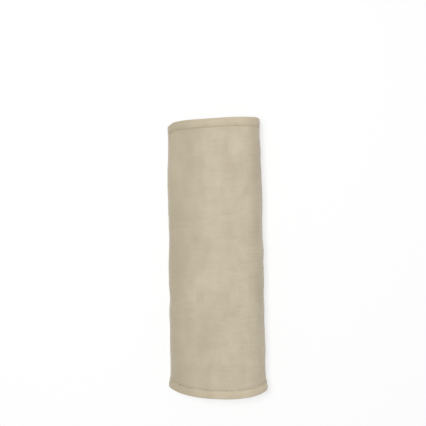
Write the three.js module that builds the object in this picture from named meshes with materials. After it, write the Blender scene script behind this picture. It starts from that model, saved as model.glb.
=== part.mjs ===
// A shoulder pad for a car's seat belt: a padded sleeve of short plush, folded in three and closed
// along its back by a hook tape and a loop tape, with a flat channel through it for the belt.
// It lies on its back. X runs across the pad, Y along it towards its top end, and Z up to its front.
// Lengths are in millimetres. The origin is under the pad's middle, on the surface that it lies on.
import * as THREE from "three";

// Overall sizes of the closed pad
const LENGTH = 264; // of the cover along the side folds
const WIDTH = 95.5; // over the side folds, half way along
const CHANNEL_HEIGHT = 6.5; // clear room for the belt between front and back

// Thickness of each ply
const COVER_THICKNESS = 1.5;
const LINING_THICKNESS = 0.6;
const FOAM_THICKNESS = 8;
const FLAP_PADDING_THICKNESS = 1.6;
const PLY_GAP = 0.2;

// Bindings: the end hems, and the strips over the flaps' long edges
const BINDING_THICKNESS = 0.75;
const BINDING_GAP = 0.15;
const HEM_DEPTH = 9;
const EDGE_BINDING_DEPTH = 8;

// The closure along the back
const HOOK_TAPE_THICKNESS = 1;
const LOOP_TAPE_THICKNESS = 1;
const TAPE_GAP = 0.2;
const TAPE_MARGIN = 1; // from a tape to the binding or the hem beside it
const LOOP_TAPE_SHOWING = 6; // how far the loop tape looks out past the upper flap's edge

// The folds and the two flaps
const LEFT_FOLD_RADIUS = 5.5; // inside the lining
const STEP_RUN = 13; // length over which the under flap climbs from the left fold to its level
const OVER_FLAP_CLEARANCE = 5.5; // from the over flap's edge to that climb
const UNDER_FLAP_CLEARANCE = 12; // from the under flap's edge to the start of the right fold
const FOAM_WRAP = 7; // how far the foam reaches round the folds, past half the width
const PADDING_INSET = 2; // from the padding to the edges of the cloth

// Seams
const THREAD = 0.5;
const THREAD_LIFT = 0.15;
const SEAM_INSET = 1.5; // from a tape's edge to its row of stitching

// How the soft pad has settled
const TAPER = 0.012; // the bottom end is wider and the top end narrower by this share
const BOTTOM_FLARE = 0.05; // extra share of width at the very bottom
const FLARE_RUN = 30;
const END_RUN = 60; // length over which an end's own shape builds up
// How far the middle of the front runs past the folds at each end, and how far that end slants
const TOP_END = { bulge: 4.5, lean: 0.035 };
const BOTTOM_END = { bulge: 9, lean: 0.035 };
const SEAM_SQUEEZE = 0.45; // share of the foam's swelling that the end seams press flat
const SQUEEZE_RUN = 24;

// Sampling of the curved section
const FOLD_STEPS = 10;
const FRONT_STEPS = 8;
const STEP_STEPS = 4;

// Flat plies, as they are cut. Each height is measured outwards from the lining's inner face.
const PADDING_START = LINING_THICKNESS + PLY_GAP;
const PADDING_END = PADDING_START + FLAP_PADDING_THICKNESS;
const COVER_START = PADDING_END + PLY_GAP;
const COVER_END = COVER_START + COVER_THICKNESS;
const BINDING_RISE = BINDING_GAP + BINDING_THICKNESS;
const HALF_LENGTH = LENGTH / 2;
const HEM_START = HALF_LENGTH - HEM_DEPTH;
const SQUEEZE_END = HEM_START - 2 * THREAD - THREAD_LIFT;

// The stack, from the surface up
const OVER_FLAP_Z = BINDING_RISE + COVER_END;
const CLOSURE_HEIGHT = HOOK_TAPE_THICKNESS + LOOP_TAPE_THICKNESS + 3 * TAPE_GAP;
const CHANNEL_FLOOR_Z = OVER_FLAP_Z + CLOSURE_HEIGHT + COVER_END;
const CHANNEL_ROOF_Z = CHANNEL_FLOOR_Z + CHANNEL_HEIGHT;
const RIGHT_FOLD_RADIUS = (CHANNEL_ROOF_Z - OVER_FLAP_Z) / 2;

// Extra height of the foam over the thin padding of the flaps: full in the middle of the front, none past
// the folds, and pressed down along the seams at both ends.
const smooth = (low, high, value) => THREE.MathUtils.smoothstep(value, low, high);
const FOAM_REACH = WIDTH / 2 + FOAM_WRAP;
function swelling(fromFrontCentre, y) {
  const share = Math.min(1, Math.abs(fromFrontCentre) / FOAM_REACH);
  const crown = (1 - share ** 3) ** 1.5;
  const pressed = SEAM_SQUEEZE * smooth(SQUEEZE_END - SQUEEZE_RUN, SQUEEZE_END, Math.abs(y));
  return (FOAM_THICKNESS - FLAP_PADDING_THICKNESS) * crown * (1 - pressed);
}

// A fold's centre lies its radius and its plies inside half the width. How thick the plies are at its
// widest point depends on how far round the section that point is, so the centre is found step by step.
function foldCentre(radius) {
  let centre = WIDTH / 2;
  for (let pass = 0; pass < 20; pass++) {
    centre = WIDTH / 2 - radius - COVER_END - swelling(centre + (radius * Math.PI) / 2, 0);
  }
  return centre;
}
const RIGHT_FOLD_X = foldCentre(RIGHT_FOLD_RADIUS);
const LEFT_FOLD_X = -foldCentre(LEFT_FOLD_RADIUS);
const STEP_X = LEFT_FOLD_X + STEP_RUN;
const OVER_FLAP_EDGE_X = STEP_X + OVER_FLAP_CLEARANCE;
const UNDER_FLAP_EDGE_X = RIGHT_FOLD_X - UNDER_FLAP_CLEARANCE;

// The section is the lining's inner face as one line, from the under flap's edge round the left fold, over
// the front and round the right fold to the over flap's edge. Its curves hold (X, Z).
const line = (x0, z0, x1, z1) => new THREE.LineCurve(new THREE.Vector2(x0, z0), new THREE.Vector2(x1, z1));
function turn(x, radius, fromDegrees, toDegrees) {
  const [from, to] = [fromDegrees, toDegrees].map(THREE.MathUtils.degToRad);
  return new THREE.EllipseCurve(x, CHANNEL_ROOF_Z - radius, radius, radius, from, to, true);
}
function step() {
  const middleX = (STEP_X + LEFT_FOLD_X) / 2;
  const lowZ = CHANNEL_ROOF_Z - 2 * LEFT_FOLD_RADIUS;
  return new THREE.CubicBezierCurve(
    new THREE.Vector2(STEP_X, CHANNEL_FLOOR_Z),
    new THREE.Vector2(middleX, CHANNEL_FLOOR_Z),
    new THREE.Vector2(middleX, lowZ),
    new THREE.Vector2(LEFT_FOLD_X, lowZ),
  );
}
const section = [
  { curve: line(UNDER_FLAP_EDGE_X, CHANNEL_FLOOR_Z, STEP_X, CHANNEL_FLOOR_Z), steps: 1 },
  { curve: step(), steps: STEP_STEPS },
  { curve: turn(LEFT_FOLD_X, LEFT_FOLD_RADIUS, 270, 90), steps: FOLD_STEPS },
  { curve: line(LEFT_FOLD_X, CHANNEL_ROOF_Z, RIGHT_FOLD_X, CHANNEL_ROOF_Z), steps: FRONT_STEPS },
  { curve: turn(RIGHT_FOLD_X, RIGHT_FOLD_RADIUS, 90, -90), steps: FOLD_STEPS },
  { curve: line(RIGHT_FOLD_X, OVER_FLAP_Z, OVER_FLAP_EDGE_X, OVER_FLAP_Z), steps: 1 },
];
let reached = 0;
for (const part of section) {
  part.start = reached;
  reached += part.curve.getLength();
}
const SECTION_END = reached;
const FRONT_CENTRE = section[3].start - LEFT_FOLD_X;
const FOAM_FROM = FRONT_CENTRE - FOAM_REACH;
const FOAM_TO = FRONT_CENTRE + FOAM_REACH;

// Where the plies have corners round the section and along the pad. All plies share them, so that the
// facets of neighbours stay parallel. A corner nearer than this to the end of a piece is left out.
const NEAR = 0.4;
const between = (all, from, to) => [from, ...all.filter((at) => at > from + NEAR && at < to - NEAR), to];
const corners = section.flatMap(({ start, curve, steps }) =>
  Array.from({ length: steps }, (_, i) => start + (curve.getLength() * i) / steps),
);
corners.push(FOAM_FROM, FOAM_TO);
corners.sort((a, b) => a - b);
const halfRings = [
  LENGTH * 0.16,
  LENGTH * 0.28,
  SQUEEZE_END - SQUEEZE_RUN,
  SQUEEZE_END - SQUEEZE_RUN * 0.65,
  SQUEEZE_END - SQUEEZE_RUN * 0.35,
  SQUEEZE_END,
  HEM_START,
];
const rings = [...halfRings.map((y) => -y).reverse(), 0, ...halfRings];

// Folds a point of the flat cloth: how far round the section it is, how far along the pad, and how high
// over the lining's inner face. What lies above the padding is lifted by the foam's swelling.
function folded(round, along, height) {
  const part = section.findLast(({ start }) => start <= round) ?? section[0];
  const share = THREE.MathUtils.clamp((round - part.start) / part.curve.getLength(), 0, 1);
  const past = Math.min(0, round) + Math.max(0, round - SECTION_END);
  const tangent = part.curve.getTangentAt(share);
  const outwards = new THREE.Vector2(-tangent.y, tangent.x);
  const lift = height > PADDING_START ? swelling(round - FRONT_CENTRE, along) : 0;
  const point = part.curve.getPointAt(share).addScaledVector(tangent, past);
  point.addScaledVector(outwards, height + lift);
  return new THREE.Vector3(point.x, along, point.y);
}

// Moves a folded point to where it lies on the soft, settled pad.
function settled(point, round) {
  const y = point.y;
  const flare = BOTTOM_FLARE * Math.max(0, (FLARE_RUN - HALF_LENGTH - y) / FLARE_RUN) ** 2;
  const x = point.x * (1 - (TAPER * y) / HALF_LENGTH + flare);
  const end = y > 0 ? TOP_END : BOTTOM_END;
  const crown = Math.max(0, 1 - Math.abs((2 * (round - FRONT_CENTRE)) / WIDTH) ** 2.5);
  const nearEnd = smooth(HEM_START - END_RUN, HEM_START, Math.abs(y));
  return new THREE.Vector3(x, y + Math.sign(y) * nearEnd * (end.bulge * crown + end.lean * x), point.z);
}

// Gives each corner of a geometry the place that flatPlace finds for it in the flat cloth, and folds it.
function foldUp(geometry, flatPlace) {
  const position = geometry.getAttribute("position");
  const corner = new THREE.Vector3();
  for (let i = 0; i < position.count; i++) {
    corner.fromBufferAttribute(position, i);
    const [round, along, height] = flatPlace(corner);
    const { x, y, z } = settled(folded(round, along, height), round);
    position.setXYZ(i, x, y, z);
  }
  geometry.computeVertexNormals();
  return geometry;
}

// A sheet is a box cut up at the shared corners, with its lower and upper face at two heights.
function sheet(fromRound, toRound, halfLength, low, high) {
  const across = between(corners, fromRound, toRound);
  const lengthwise = between(rings, -halfLength, halfLength);
  const [columns, rows] = [across.length - 1, lengthwise.length - 1];
  const box = new THREE.BoxGeometry(columns, rows, 1, columns, rows, 1).translate(columns / 2, rows / 2, 0.5);
  const height = (z) => (z > 0.5 ? high : low);
  return foldUp(box, ({ x, y, z }) => [across[Math.round(x)], lengthwise[Math.round(y)], height(z)]);
}

// A binding is a strip folded over an edge. Its outline runs from the cloth inwards (reach < 0) to the edge
// at 0 and past it, below and above the plies.
function bindingOutline(depth) {
  const [outerTip, innerTip] = [BINDING_RISE, BINDING_GAP];
  const [top, roomTop] = [COVER_END + BINDING_RISE, COVER_END + BINDING_GAP];
  const corner = (reach, height) => new THREE.Vector2(reach, height);
  return new THREE.Shape([
    corner(-depth, top),
    corner(-depth, roomTop),
    corner(innerTip, roomTop),
    corner(innerTip, -BINDING_GAP),
    corner(-depth, -BINDING_GAP),
    corner(-depth, -BINDING_RISE),
    corner(outerTip, -BINDING_RISE),
    corner(outerTip, top),
  ]);
}
const extrude = (shape, steps) =>
  new THREE.ExtrudeGeometry(shape, { depth: steps, steps, bevelEnabled: false });

// An end hem follows the whole section. A side of 1 is the top end, and -1 the bottom end.
function endHem(side) {
  const across = between(corners, 0, SECTION_END);
  if (side < 0) across.reverse();
  const hem = extrude(bindingOutline(HEM_DEPTH), across.length - 1);
  return foldUp(hem, ({ x, y, z }) => [across[Math.round(z)], side * (HALF_LENGTH + x), y]);
}

// An edge binding runs between the end hems, over the flap's edge at a given place round the section.
// A side of 1 is the over flap's edge, at the section's end, and -1 the under flap's, at its start.
function edgeBinding(side) {
  const edge = side > 0 ? SECTION_END : 0;
  const end = HEM_START - BINDING_GAP;
  const lengthwise = between(rings, -end, end);
  if (side > 0) lengthwise.reverse();
  const binding = extrude(bindingOutline(EDGE_BINDING_DEPTH), lengthwise.length - 1);
  return foldUp(binding, ({ x, y, z }) => [edge + side * x, lengthwise[Math.round(z)], y]);
}

// Colours as the cloth shows them
const finishes = {
  plush: { color: "#c7bca6", roughness: 0.95 },
  hem: { color: "#cdbdaa", roughness: 0.9 },
  lining: { color: "#b9ad97", roughness: 0.9 },
  foam: { color: "#e6dcc0", roughness: 1 },
  tape: { color: "#b3a68d", roughness: 0.85 },
  thread: { color: "#b9a98f", roughness: 0.7 },
};
const pad = new THREE.Group();
function add(name, finish, geometry) {
  const material = new THREE.MeshStandardMaterial({ ...finishes[finish], metalness: 0 });
  const mesh = new THREE.Mesh(geometry, material);
  mesh.name = name;
  pad.add(mesh);
}

// Cover and lining are as long and as wide as the whole flat cloth.
add("cover", "plush", sheet(0, SECTION_END, HALF_LENGTH, COVER_START, COVER_END));
add("lining", "lining", sheet(0, SECTION_END, HALF_LENGTH, 0, LINING_THICKNESS));

// The memory foam fills the front and its folds, and a thin sheet pads each flap.
const addPadding = (name, fromRound, toRound) =>
  add(name, "foam", sheet(fromRound, toRound, HALF_LENGTH - PADDING_INSET, PADDING_START, PADDING_END));
addPadding("foam_core", FOAM_FROM + PLY_GAP, FOAM_TO - PLY_GAP);
addPadding("under_flap_padding", PADDING_INSET, FOAM_FROM - PLY_GAP);
addPadding("over_flap_padding", FOAM_TO + PLY_GAP, SECTION_END - PADDING_INSET);

// Hems and edge bindings
add("top_hem", "hem", endHem(1));
add("bottom_hem", "hem", endHem(-1));
add("over_flap_edge_binding", "hem", edgeBinding(1));
add("under_flap_edge_binding", "hem", edgeBinding(-1));

// Both tapes fill the room between the two edge bindings. The loop tape lies on the under flap's outer
// face and goes on past the over flap's edge. The hook tape lies on the over flap's inner face.
const underRound = (x) => UNDER_FLAP_EDGE_X - x;
const overRound = (x) => SECTION_END - (x - OVER_FLAP_EDGE_X);
const TAPE_HALF_LENGTH = HEM_START - TAPE_MARGIN;
const TAPE_LEFT_X = OVER_FLAP_EDGE_X + EDGE_BINDING_DEPTH + TAPE_MARGIN;
const TAPE_RIGHT_X = UNDER_FLAP_EDGE_X - EDGE_BINDING_DEPTH - TAPE_MARGIN;
const LOOP_TAPE_LEFT_X = OVER_FLAP_EDGE_X - BINDING_RISE - LOOP_TAPE_SHOWING;
const [loopFrom, loopTo] = [TAPE_RIGHT_X, LOOP_TAPE_LEFT_X].map(underRound);
const [hookFrom, hookTo] = [TAPE_RIGHT_X, TAPE_LEFT_X].map(overRound);
const loopLow = COVER_END + TAPE_GAP;
const loopHigh = loopLow + LOOP_TAPE_THICKNESS;
const hookLow = -TAPE_GAP - HOOK_TAPE_THICKNESS;
add("loop_tape", "tape", sheet(loopFrom, loopTo, TAPE_HALF_LENGTH, loopLow, loopHigh));
add("hook_tape", "tape", sheet(hookFrom, hookTo, TAPE_HALF_LENGTH, hookLow, -TAPE_GAP));

// Seams lie on the cover, beside what they hold: one round each end, and straight ones down the flaps.
const threadLow = COVER_END + THREAD_LIFT;
const HEM_SEAM_Y = HEM_START - THREAD_LIFT - THREAD / 2;
const EDGE_SEAM = EDGE_BINDING_DEPTH + THREAD_LIFT + THREAD / 2;
function endSeam(side) {
  const across = between(corners, EDGE_SEAM, SECTION_END - EDGE_SEAM);
  const columns = across.length - 1;
  const box = new THREE.BoxGeometry(columns, THREAD, THREAD, columns, 1, 1);
  box.translate(columns / 2, side * HEM_SEAM_Y, threadLow + THREAD / 2);
  return foldUp(box, ({ x, y, z }) => [across[Math.round(x)], y, z]);
}
const SEAM_HALF_LENGTH = TAPE_HALF_LENGTH - SEAM_INSET;
const straightSeam = (round, low = threadLow) =>
  sheet(round - THREAD / 2, round + THREAD / 2, SEAM_HALF_LENGTH, low, low + THREAD);
add("top_hem_stitching", "thread", endSeam(1));
add("bottom_hem_stitching", "thread", endSeam(-1));
add("under_flap_edge_stitching", "thread", straightSeam(EDGE_SEAM));
add("over_flap_edge_stitching", "thread", straightSeam(SECTION_END - EDGE_SEAM));
add("hook_tape_right_stitching", "thread", straightSeam(hookFrom + SEAM_INSET));
add("hook_tape_left_stitching", "thread", straightSeam(hookTo - SEAM_INSET));
add("loop_tape_stitching", "thread", straightSeam(loopTo - SEAM_INSET, loopHigh + THREAD_LIFT));

// The origin goes under the middle of the pad.
const box = new THREE.Box3().setFromObject(pad);
const middle = box.getCenter(new THREE.Vector3());
pad.position.set(-middle.x, -middle.y, -box.min.z);

export default pad;
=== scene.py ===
"""A shoulder pad for a car's seat belt, made of short plush, memory foam and a hook and loop closure.

The pad is one flat stack of plies, folded in three round a flat channel for the belt. It lies on its back: X
runs across it, Y along it towards its top end, and Z up to its front. All lengths are in metres.
"""

import math

import bpy
import numpy as np
from bpy.props import FloatProperty, FloatVectorProperty, IntProperty, PointerProperty
from mathutils import Matrix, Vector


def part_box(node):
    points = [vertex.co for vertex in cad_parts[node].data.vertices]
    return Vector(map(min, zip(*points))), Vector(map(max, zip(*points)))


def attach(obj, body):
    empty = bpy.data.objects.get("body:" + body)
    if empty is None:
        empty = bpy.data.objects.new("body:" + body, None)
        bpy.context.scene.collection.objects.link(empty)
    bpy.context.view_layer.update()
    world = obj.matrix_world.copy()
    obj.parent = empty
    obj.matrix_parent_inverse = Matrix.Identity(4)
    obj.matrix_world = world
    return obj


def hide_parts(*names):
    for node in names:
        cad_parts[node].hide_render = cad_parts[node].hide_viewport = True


bl_info = {
    "name": "Seat Belt Shoulder Pad",
    "version": (1, 0, 0),
    "blender": (4, 5, 0),
    "location": "View3D > Sidebar > Shoulder Pad",
    "description": "Makes a plush shoulder pad, folded in three round the channel for a seat belt",
    "category": "Add Mesh",
}

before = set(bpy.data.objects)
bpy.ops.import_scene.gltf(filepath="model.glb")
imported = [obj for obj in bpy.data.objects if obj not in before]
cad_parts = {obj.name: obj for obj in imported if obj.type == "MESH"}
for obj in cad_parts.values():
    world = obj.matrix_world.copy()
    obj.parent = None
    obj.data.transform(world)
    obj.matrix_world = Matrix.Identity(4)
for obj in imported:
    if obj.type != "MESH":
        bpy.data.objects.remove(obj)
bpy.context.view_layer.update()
BODY = "root"
CLOTH_MAP = "Cloth"
FINISH_OUTPUTS = {"Color": "colour", "Roughness": "value", "Height": "value"}


def linear(value):
    """The linear light of an sRGB value from 0 to 255."""
    value /= 255
    return value / 12.92 if value <= 0.04045 else ((value + 0.055) / 1.055) ** 2.4


def metres(name, description, default):
    """A length that a user can change."""
    return FloatProperty(
        name=name, description=description, default=default, unit="LENGTH", precision=5
    )


def share(name, description, default):
    """A plain factor that a user can change."""
    return FloatProperty(name=name, description=description, default=default, subtype="FACTOR")


def colour(name, description, default):
    """A colour that a user can change, written as sRGB values from 0 to 255."""
    light = [linear(value) for value in default]
    return FloatVectorProperty(
        name=name, description=description, default=light, subtype="COLOR", size=3, min=0, max=1
    )


def number(name, description, default):
    """A plain number that a user can change."""
    return FloatProperty(name=name, description=description, default=default)


def angle(name, description, default):
    """An angle that a user can change, written in degrees."""
    return FloatProperty(
        name=name, description=description, default=math.radians(default), subtype="ANGLE"
    )


class PadSizes(bpy.types.PropertyGroup):
    """Sizes of the plies, the folds and the closure."""

    length: metres("Length", "Of the cover along the side folds", 0.264)
    width: metres("Width", "Over the side folds, half way along", 0.0955)
    channel_height: metres("Channel height", "Clear room for the belt", 0.0065)
    cover_thickness: metres("Cover thickness", "Of the plush with its pile", 0.0015)
    lining_thickness: metres("Lining thickness", "Of the cloth on the belt's side", 0.0006)
    foam_thickness: metres("Foam thickness", "In the middle of the front", 0.008)
    flap_padding_thickness: metres("Flap padding thickness", "Of the sheet in each flap", 0.0016)
    ply_gap: metres("Ply gap", "Air between two plies", 0.0002)
    band_thickness: metres("Band thickness", "Of the cloth of hems and bindings", 0.00075)
    band_gap: metres("Band gap", "From a hem or binding to what it wraps", 0.00015)
    hem_depth: metres("Hem depth", "How far an end hem reaches over the cloth", 0.0076)
    binding_depth: metres("Binding depth", "How far an edge binding reaches over the cloth", 0.008)
    tape_thickness: metres("Tape thickness", "Of the hook tape and of the loop tape", 0.001)
    tape_gap: metres("Tape gap", "Between a tape and what it lies on", 0.0002)
    tape_margin: metres("Tape margin", "From a tape to the binding or hem beside it", 0.001)
    loop_tape_showing: metres("Loop tape showing", "How far it looks out past the upper flap", 0.006)
    left_fold_radius: metres("Left fold radius", "Inside the lining", 0.0055)
    step_run: metres("Step run", "Length over which the under flap climbs from its fold", 0.013)
    over_flap_clearance: metres("Over flap clearance", "From its edge to that climb", 0.0055)
    under_flap_clearance: metres("Under flap clearance", "From its edge to the right fold", 0.012)
    foam_wrap: metres("Foam wrap", "How far the foam reaches round the folds", 0.007)
    padding_inset: metres("Padding inset", "From the padding to the edges of the cloth", 0.002)
    thread: metres("Thread", "Thickness of the sewing thread", 0.0005)
    thread_lift: metres("Thread lift", "From the thread to the cloth that it lies on", 0.00015)
    seam_inset: metres("Seam inset", "From a tape's edge to its row of stitching", 0.0015)
    stitch: metres("Stitch", "Length of one stitch", 0.0027)
    stitch_pitch: metres("Stitch pitch", "From one stitch to the next", 0.0034)


class PadShape(bpy.types.PropertyGroup):
    """How the soft pad has settled."""

    taper: share("Taper", "The bottom end is wider and the top end narrower by this share", 0.012)
    bottom_flare: share("Bottom flare", "Extra share of width at the very bottom", 0.05)
    flare_run: metres("Flare run", "Length over which the bottom flares", 0.03)
    end_run: metres("End run", "Length over which an end's own shape builds up", 0.06)
    top_bulge: metres("Top bulge", "How far the middle of the top end runs past the folds", 0.004)
    bottom_bulge: metres("Bottom bulge", "The same at the bottom end", 0.009)
    end_lean: share("End lean", "How far both ends slant", 0.035)
    seam_squeeze: share("Seam squeeze", "Share of the swelling that the end seams press flat", 0.45)
    squeeze_run: metres("Squeeze run", "Length over which they press it", 0.024)
    waist: metres("Waist", "How far the folds sway in and out along the pad", 0.0004)
    waist_wave: metres("Waist wave", "Length of one sway", 0.084)
    waist_crest: metres("Waist crest", "Where along the pad it is widest", -0.02)
    top_square: number("Top square", "Squareness of the top end", 5)
    bottom_square: number("Bottom square", "Squareness of the bottom end", 2.5)
    left_drop: metres("Left drop", "How far the top left corner sags", 0.0022)
    right_lift: metres("Right lift", "How far the top right corner is pulled up", 0.0012)
    bottom_lift: metres("Bottom lift", "How far both bottom corners are pulled up", 0.0015)
    corner_size: metres("Corner size", "How far from its corner that reaches", 0.012)
    hem_pinch: metres("Hem pinch", "How far the end seams and hems press into the pad", 0.0006)
    hem_tuck: metres("Hem tuck", "How far the hems press in the cloth round the folds", 0.0012)
    pinch_run: metres("Pinch run", "Length over which the cloth dips into the seam", 0.004)
    groove: metres("Groove", "Depth of the hollow beside each fold, where the foam ends", 0.0009)
    groove_width: metres("Groove width", "Width of that hollow", 0.003)
    groove_inset: metres("Groove inset", "From half the width to the hollow", 0.007)
    ripple: metres("Ripple", "Height of the soft waves in the cloth", 0.00022)
    pile_relief: metres("Pile relief", "Height of the pile's tufts", 0.00009)
    cloth_cap: metres("Cloth cap", "The furthest that the simulated cloth may move", 0.0008)
    cloth_slack: metres("Cloth slack", "How much smaller the cloth starts before it swells", 0.0003)
    seed: IntProperty(name="Seed", description="Of every random draw", default=7)


class PadColours(bpy.types.PropertyGroup):
    """Colours of the cloths, the foam, the tapes and the thread."""

    plush: colour("Plush", "Tips of the pile", (200, 191, 170))
    # Painted shade between the tufts, and the dark end of the pile's random tone
    plush_deep: colour("Plush deep", "Between the tufts", (182, 170, 148))
    # Painted shade: the left of the front is darker, where less light falls
    plush_painted_shade: colour("Plush painted shade", "Where the nap is brushed away to the left", (164, 154, 132))
    # Painted shade in the hollows beside the folds
    plush_crease_shade: colour("Plush crease shade", "In the creases beside the folds", (138, 127, 106))
    hem: colour("Hem", "Tips of the pile on hems and bindings", (202, 190, 168))
    # Painted shade between the tufts, and the dark end of the pile's random tone
    hem_deep: colour("Hem deep", "Between the tufts there", (185, 173, 150))
    lining: colour("Lining", "Threads of the lining", (188, 176, 152))
    # Painted shade between the lining's threads
    lining_deep: colour("Lining deep", "Between its threads", (158, 146, 122))
    foam: colour("Foam", "Walls of the foam's cells", (232, 222, 196))
    # Painted shade inside the cells
    foam_deep: colour("Foam deep", "Inside the cells", (205, 192, 160))
    tape: colour("Tape", "Threads of both tapes", (183, 171, 146))
    # Painted shade between the tapes' threads, and in the loop tape's low pile
    tape_deep: colour("Tape deep", "Between their threads", (150, 138, 114))
    thread: colour("Thread", "Of all stitching", (200, 187, 164))
    # Painted shade between the strands
    thread_deep: colour("Thread deep", "Between the strands of the thread", (168, 154, 130))


class PadStage(bpy.types.PropertyGroup):
    """Camera, lamps and floor."""

    distance: metres("Distance", "From the aim to the camera", 0.775)
    lens: number("Lens", "Focal length in millimetres", 65.3)
    turn: angle("Turn", "How far the camera looks in from the right", 6.5)
    roll: angle("Roll", "How far the camera is rolled", -1.05)
    aim: FloatVectorProperty(
        name="Aim",
        description="Point in the middle of the picture",
        default=(-0.0017, 0.045, 0.015),
        subtype="TRANSLATION",
    )
    key_power: number("Key power", "Of the large lamp", 14.1)
    sky: number("Sky", "Strength of the soft light from above", 0.28)
    horizon: number("Horizon", "How much stronger it is from the sides", 5.6)
    floor_size: metres("Floor size", "Side of the square floor", 6.0)


def smooth(low, high, value):
    """0 below low, 1 above high, and three t squared less two t cubed between them."""
    t = np.clip((value - low) / (high - low), 0, 1)
    return t * t * (3 - 2 * t)


def waves(u, v, count, shortest, longest, seed):
    """Adds up cosine waves over (u, v), each with a random length, direction and phase. The sum is divided by
    the root of half their count, so that it swings by about 1 either way."""
    draw = np.random.default_rng(seed)
    lengths = draw.uniform(shortest, longest, count)
    directions = draw.uniform(0, np.pi, count)
    phases = draw.uniform(0, 2 * np.pi, count)
    total = np.zeros(np.broadcast(u, v).shape)
    for length, direction, phase in zip(lengths, directions, phases):
        total += np.cos(2 * np.pi / length * (u * np.cos(direction) + v * np.sin(direction)) + phase)
    return total / math.sqrt(count / 2)


def banded_noise(shape, spacing, shortest, longest, seed):
    """White noise on a grid, of which only the wavelengths between the two given are kept: its Fourier
    transform is multiplied by a smooth window over wavelength. Its spread is 1."""
    white = np.random.default_rng(seed).standard_normal(shape)
    rate_v = np.fft.fftfreq(shape[0], spacing[0])[:, None]
    rate_u = np.fft.rfftfreq(shape[1], spacing[1])[None, :]
    rate = np.hypot(rate_v, rate_u)
    window = smooth(0.5 / longest, 1 / longest, rate) * (1 - smooth(1 / shortest, 1.5 / shortest, rate))
    kept = np.fft.irfft2(np.fft.rfft2(white) * window, shape)
    return kept / kept.std()


def rounding(t, lowest, power=2):
    """Grows from a small share at 0 to 1 at 1 and past it: the root of one less the distance to 1, to a
    power. A power of 2 is a quarter circle. Under the root, nothing is less than lowest."""
    return np.sqrt(np.clip(1 - np.maximum(0, 1 - t) ** power, lowest, 1))


def spline_weights(t):
    """The four weights of a uniform cubic B-spline at the share t of a cell."""
    return (
        (1 - t) ** 3 / 6,
        (3 * t**3 - 6 * t**2 + 4) / 6,
        (-3 * t**3 + 3 * t**2 + 3 * t + 1) / 6,
        t**3 / 6,
    )


# How finely the section is worked out, and the soft waves of the cover
FOLD_ROUNDS = 20
ARC_STEPS = 120
SECTION_STEP = 0.0001
SHIFT_GRID = (600, 200)
CALM_RUN = 0.02
RIPPLE_WAVES = 26
RIPPLE_SHORTEST = 0.016
RIPPLE_LONGEST = 0.07
RIPPLE_AT_HEMS = 0.35


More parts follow.
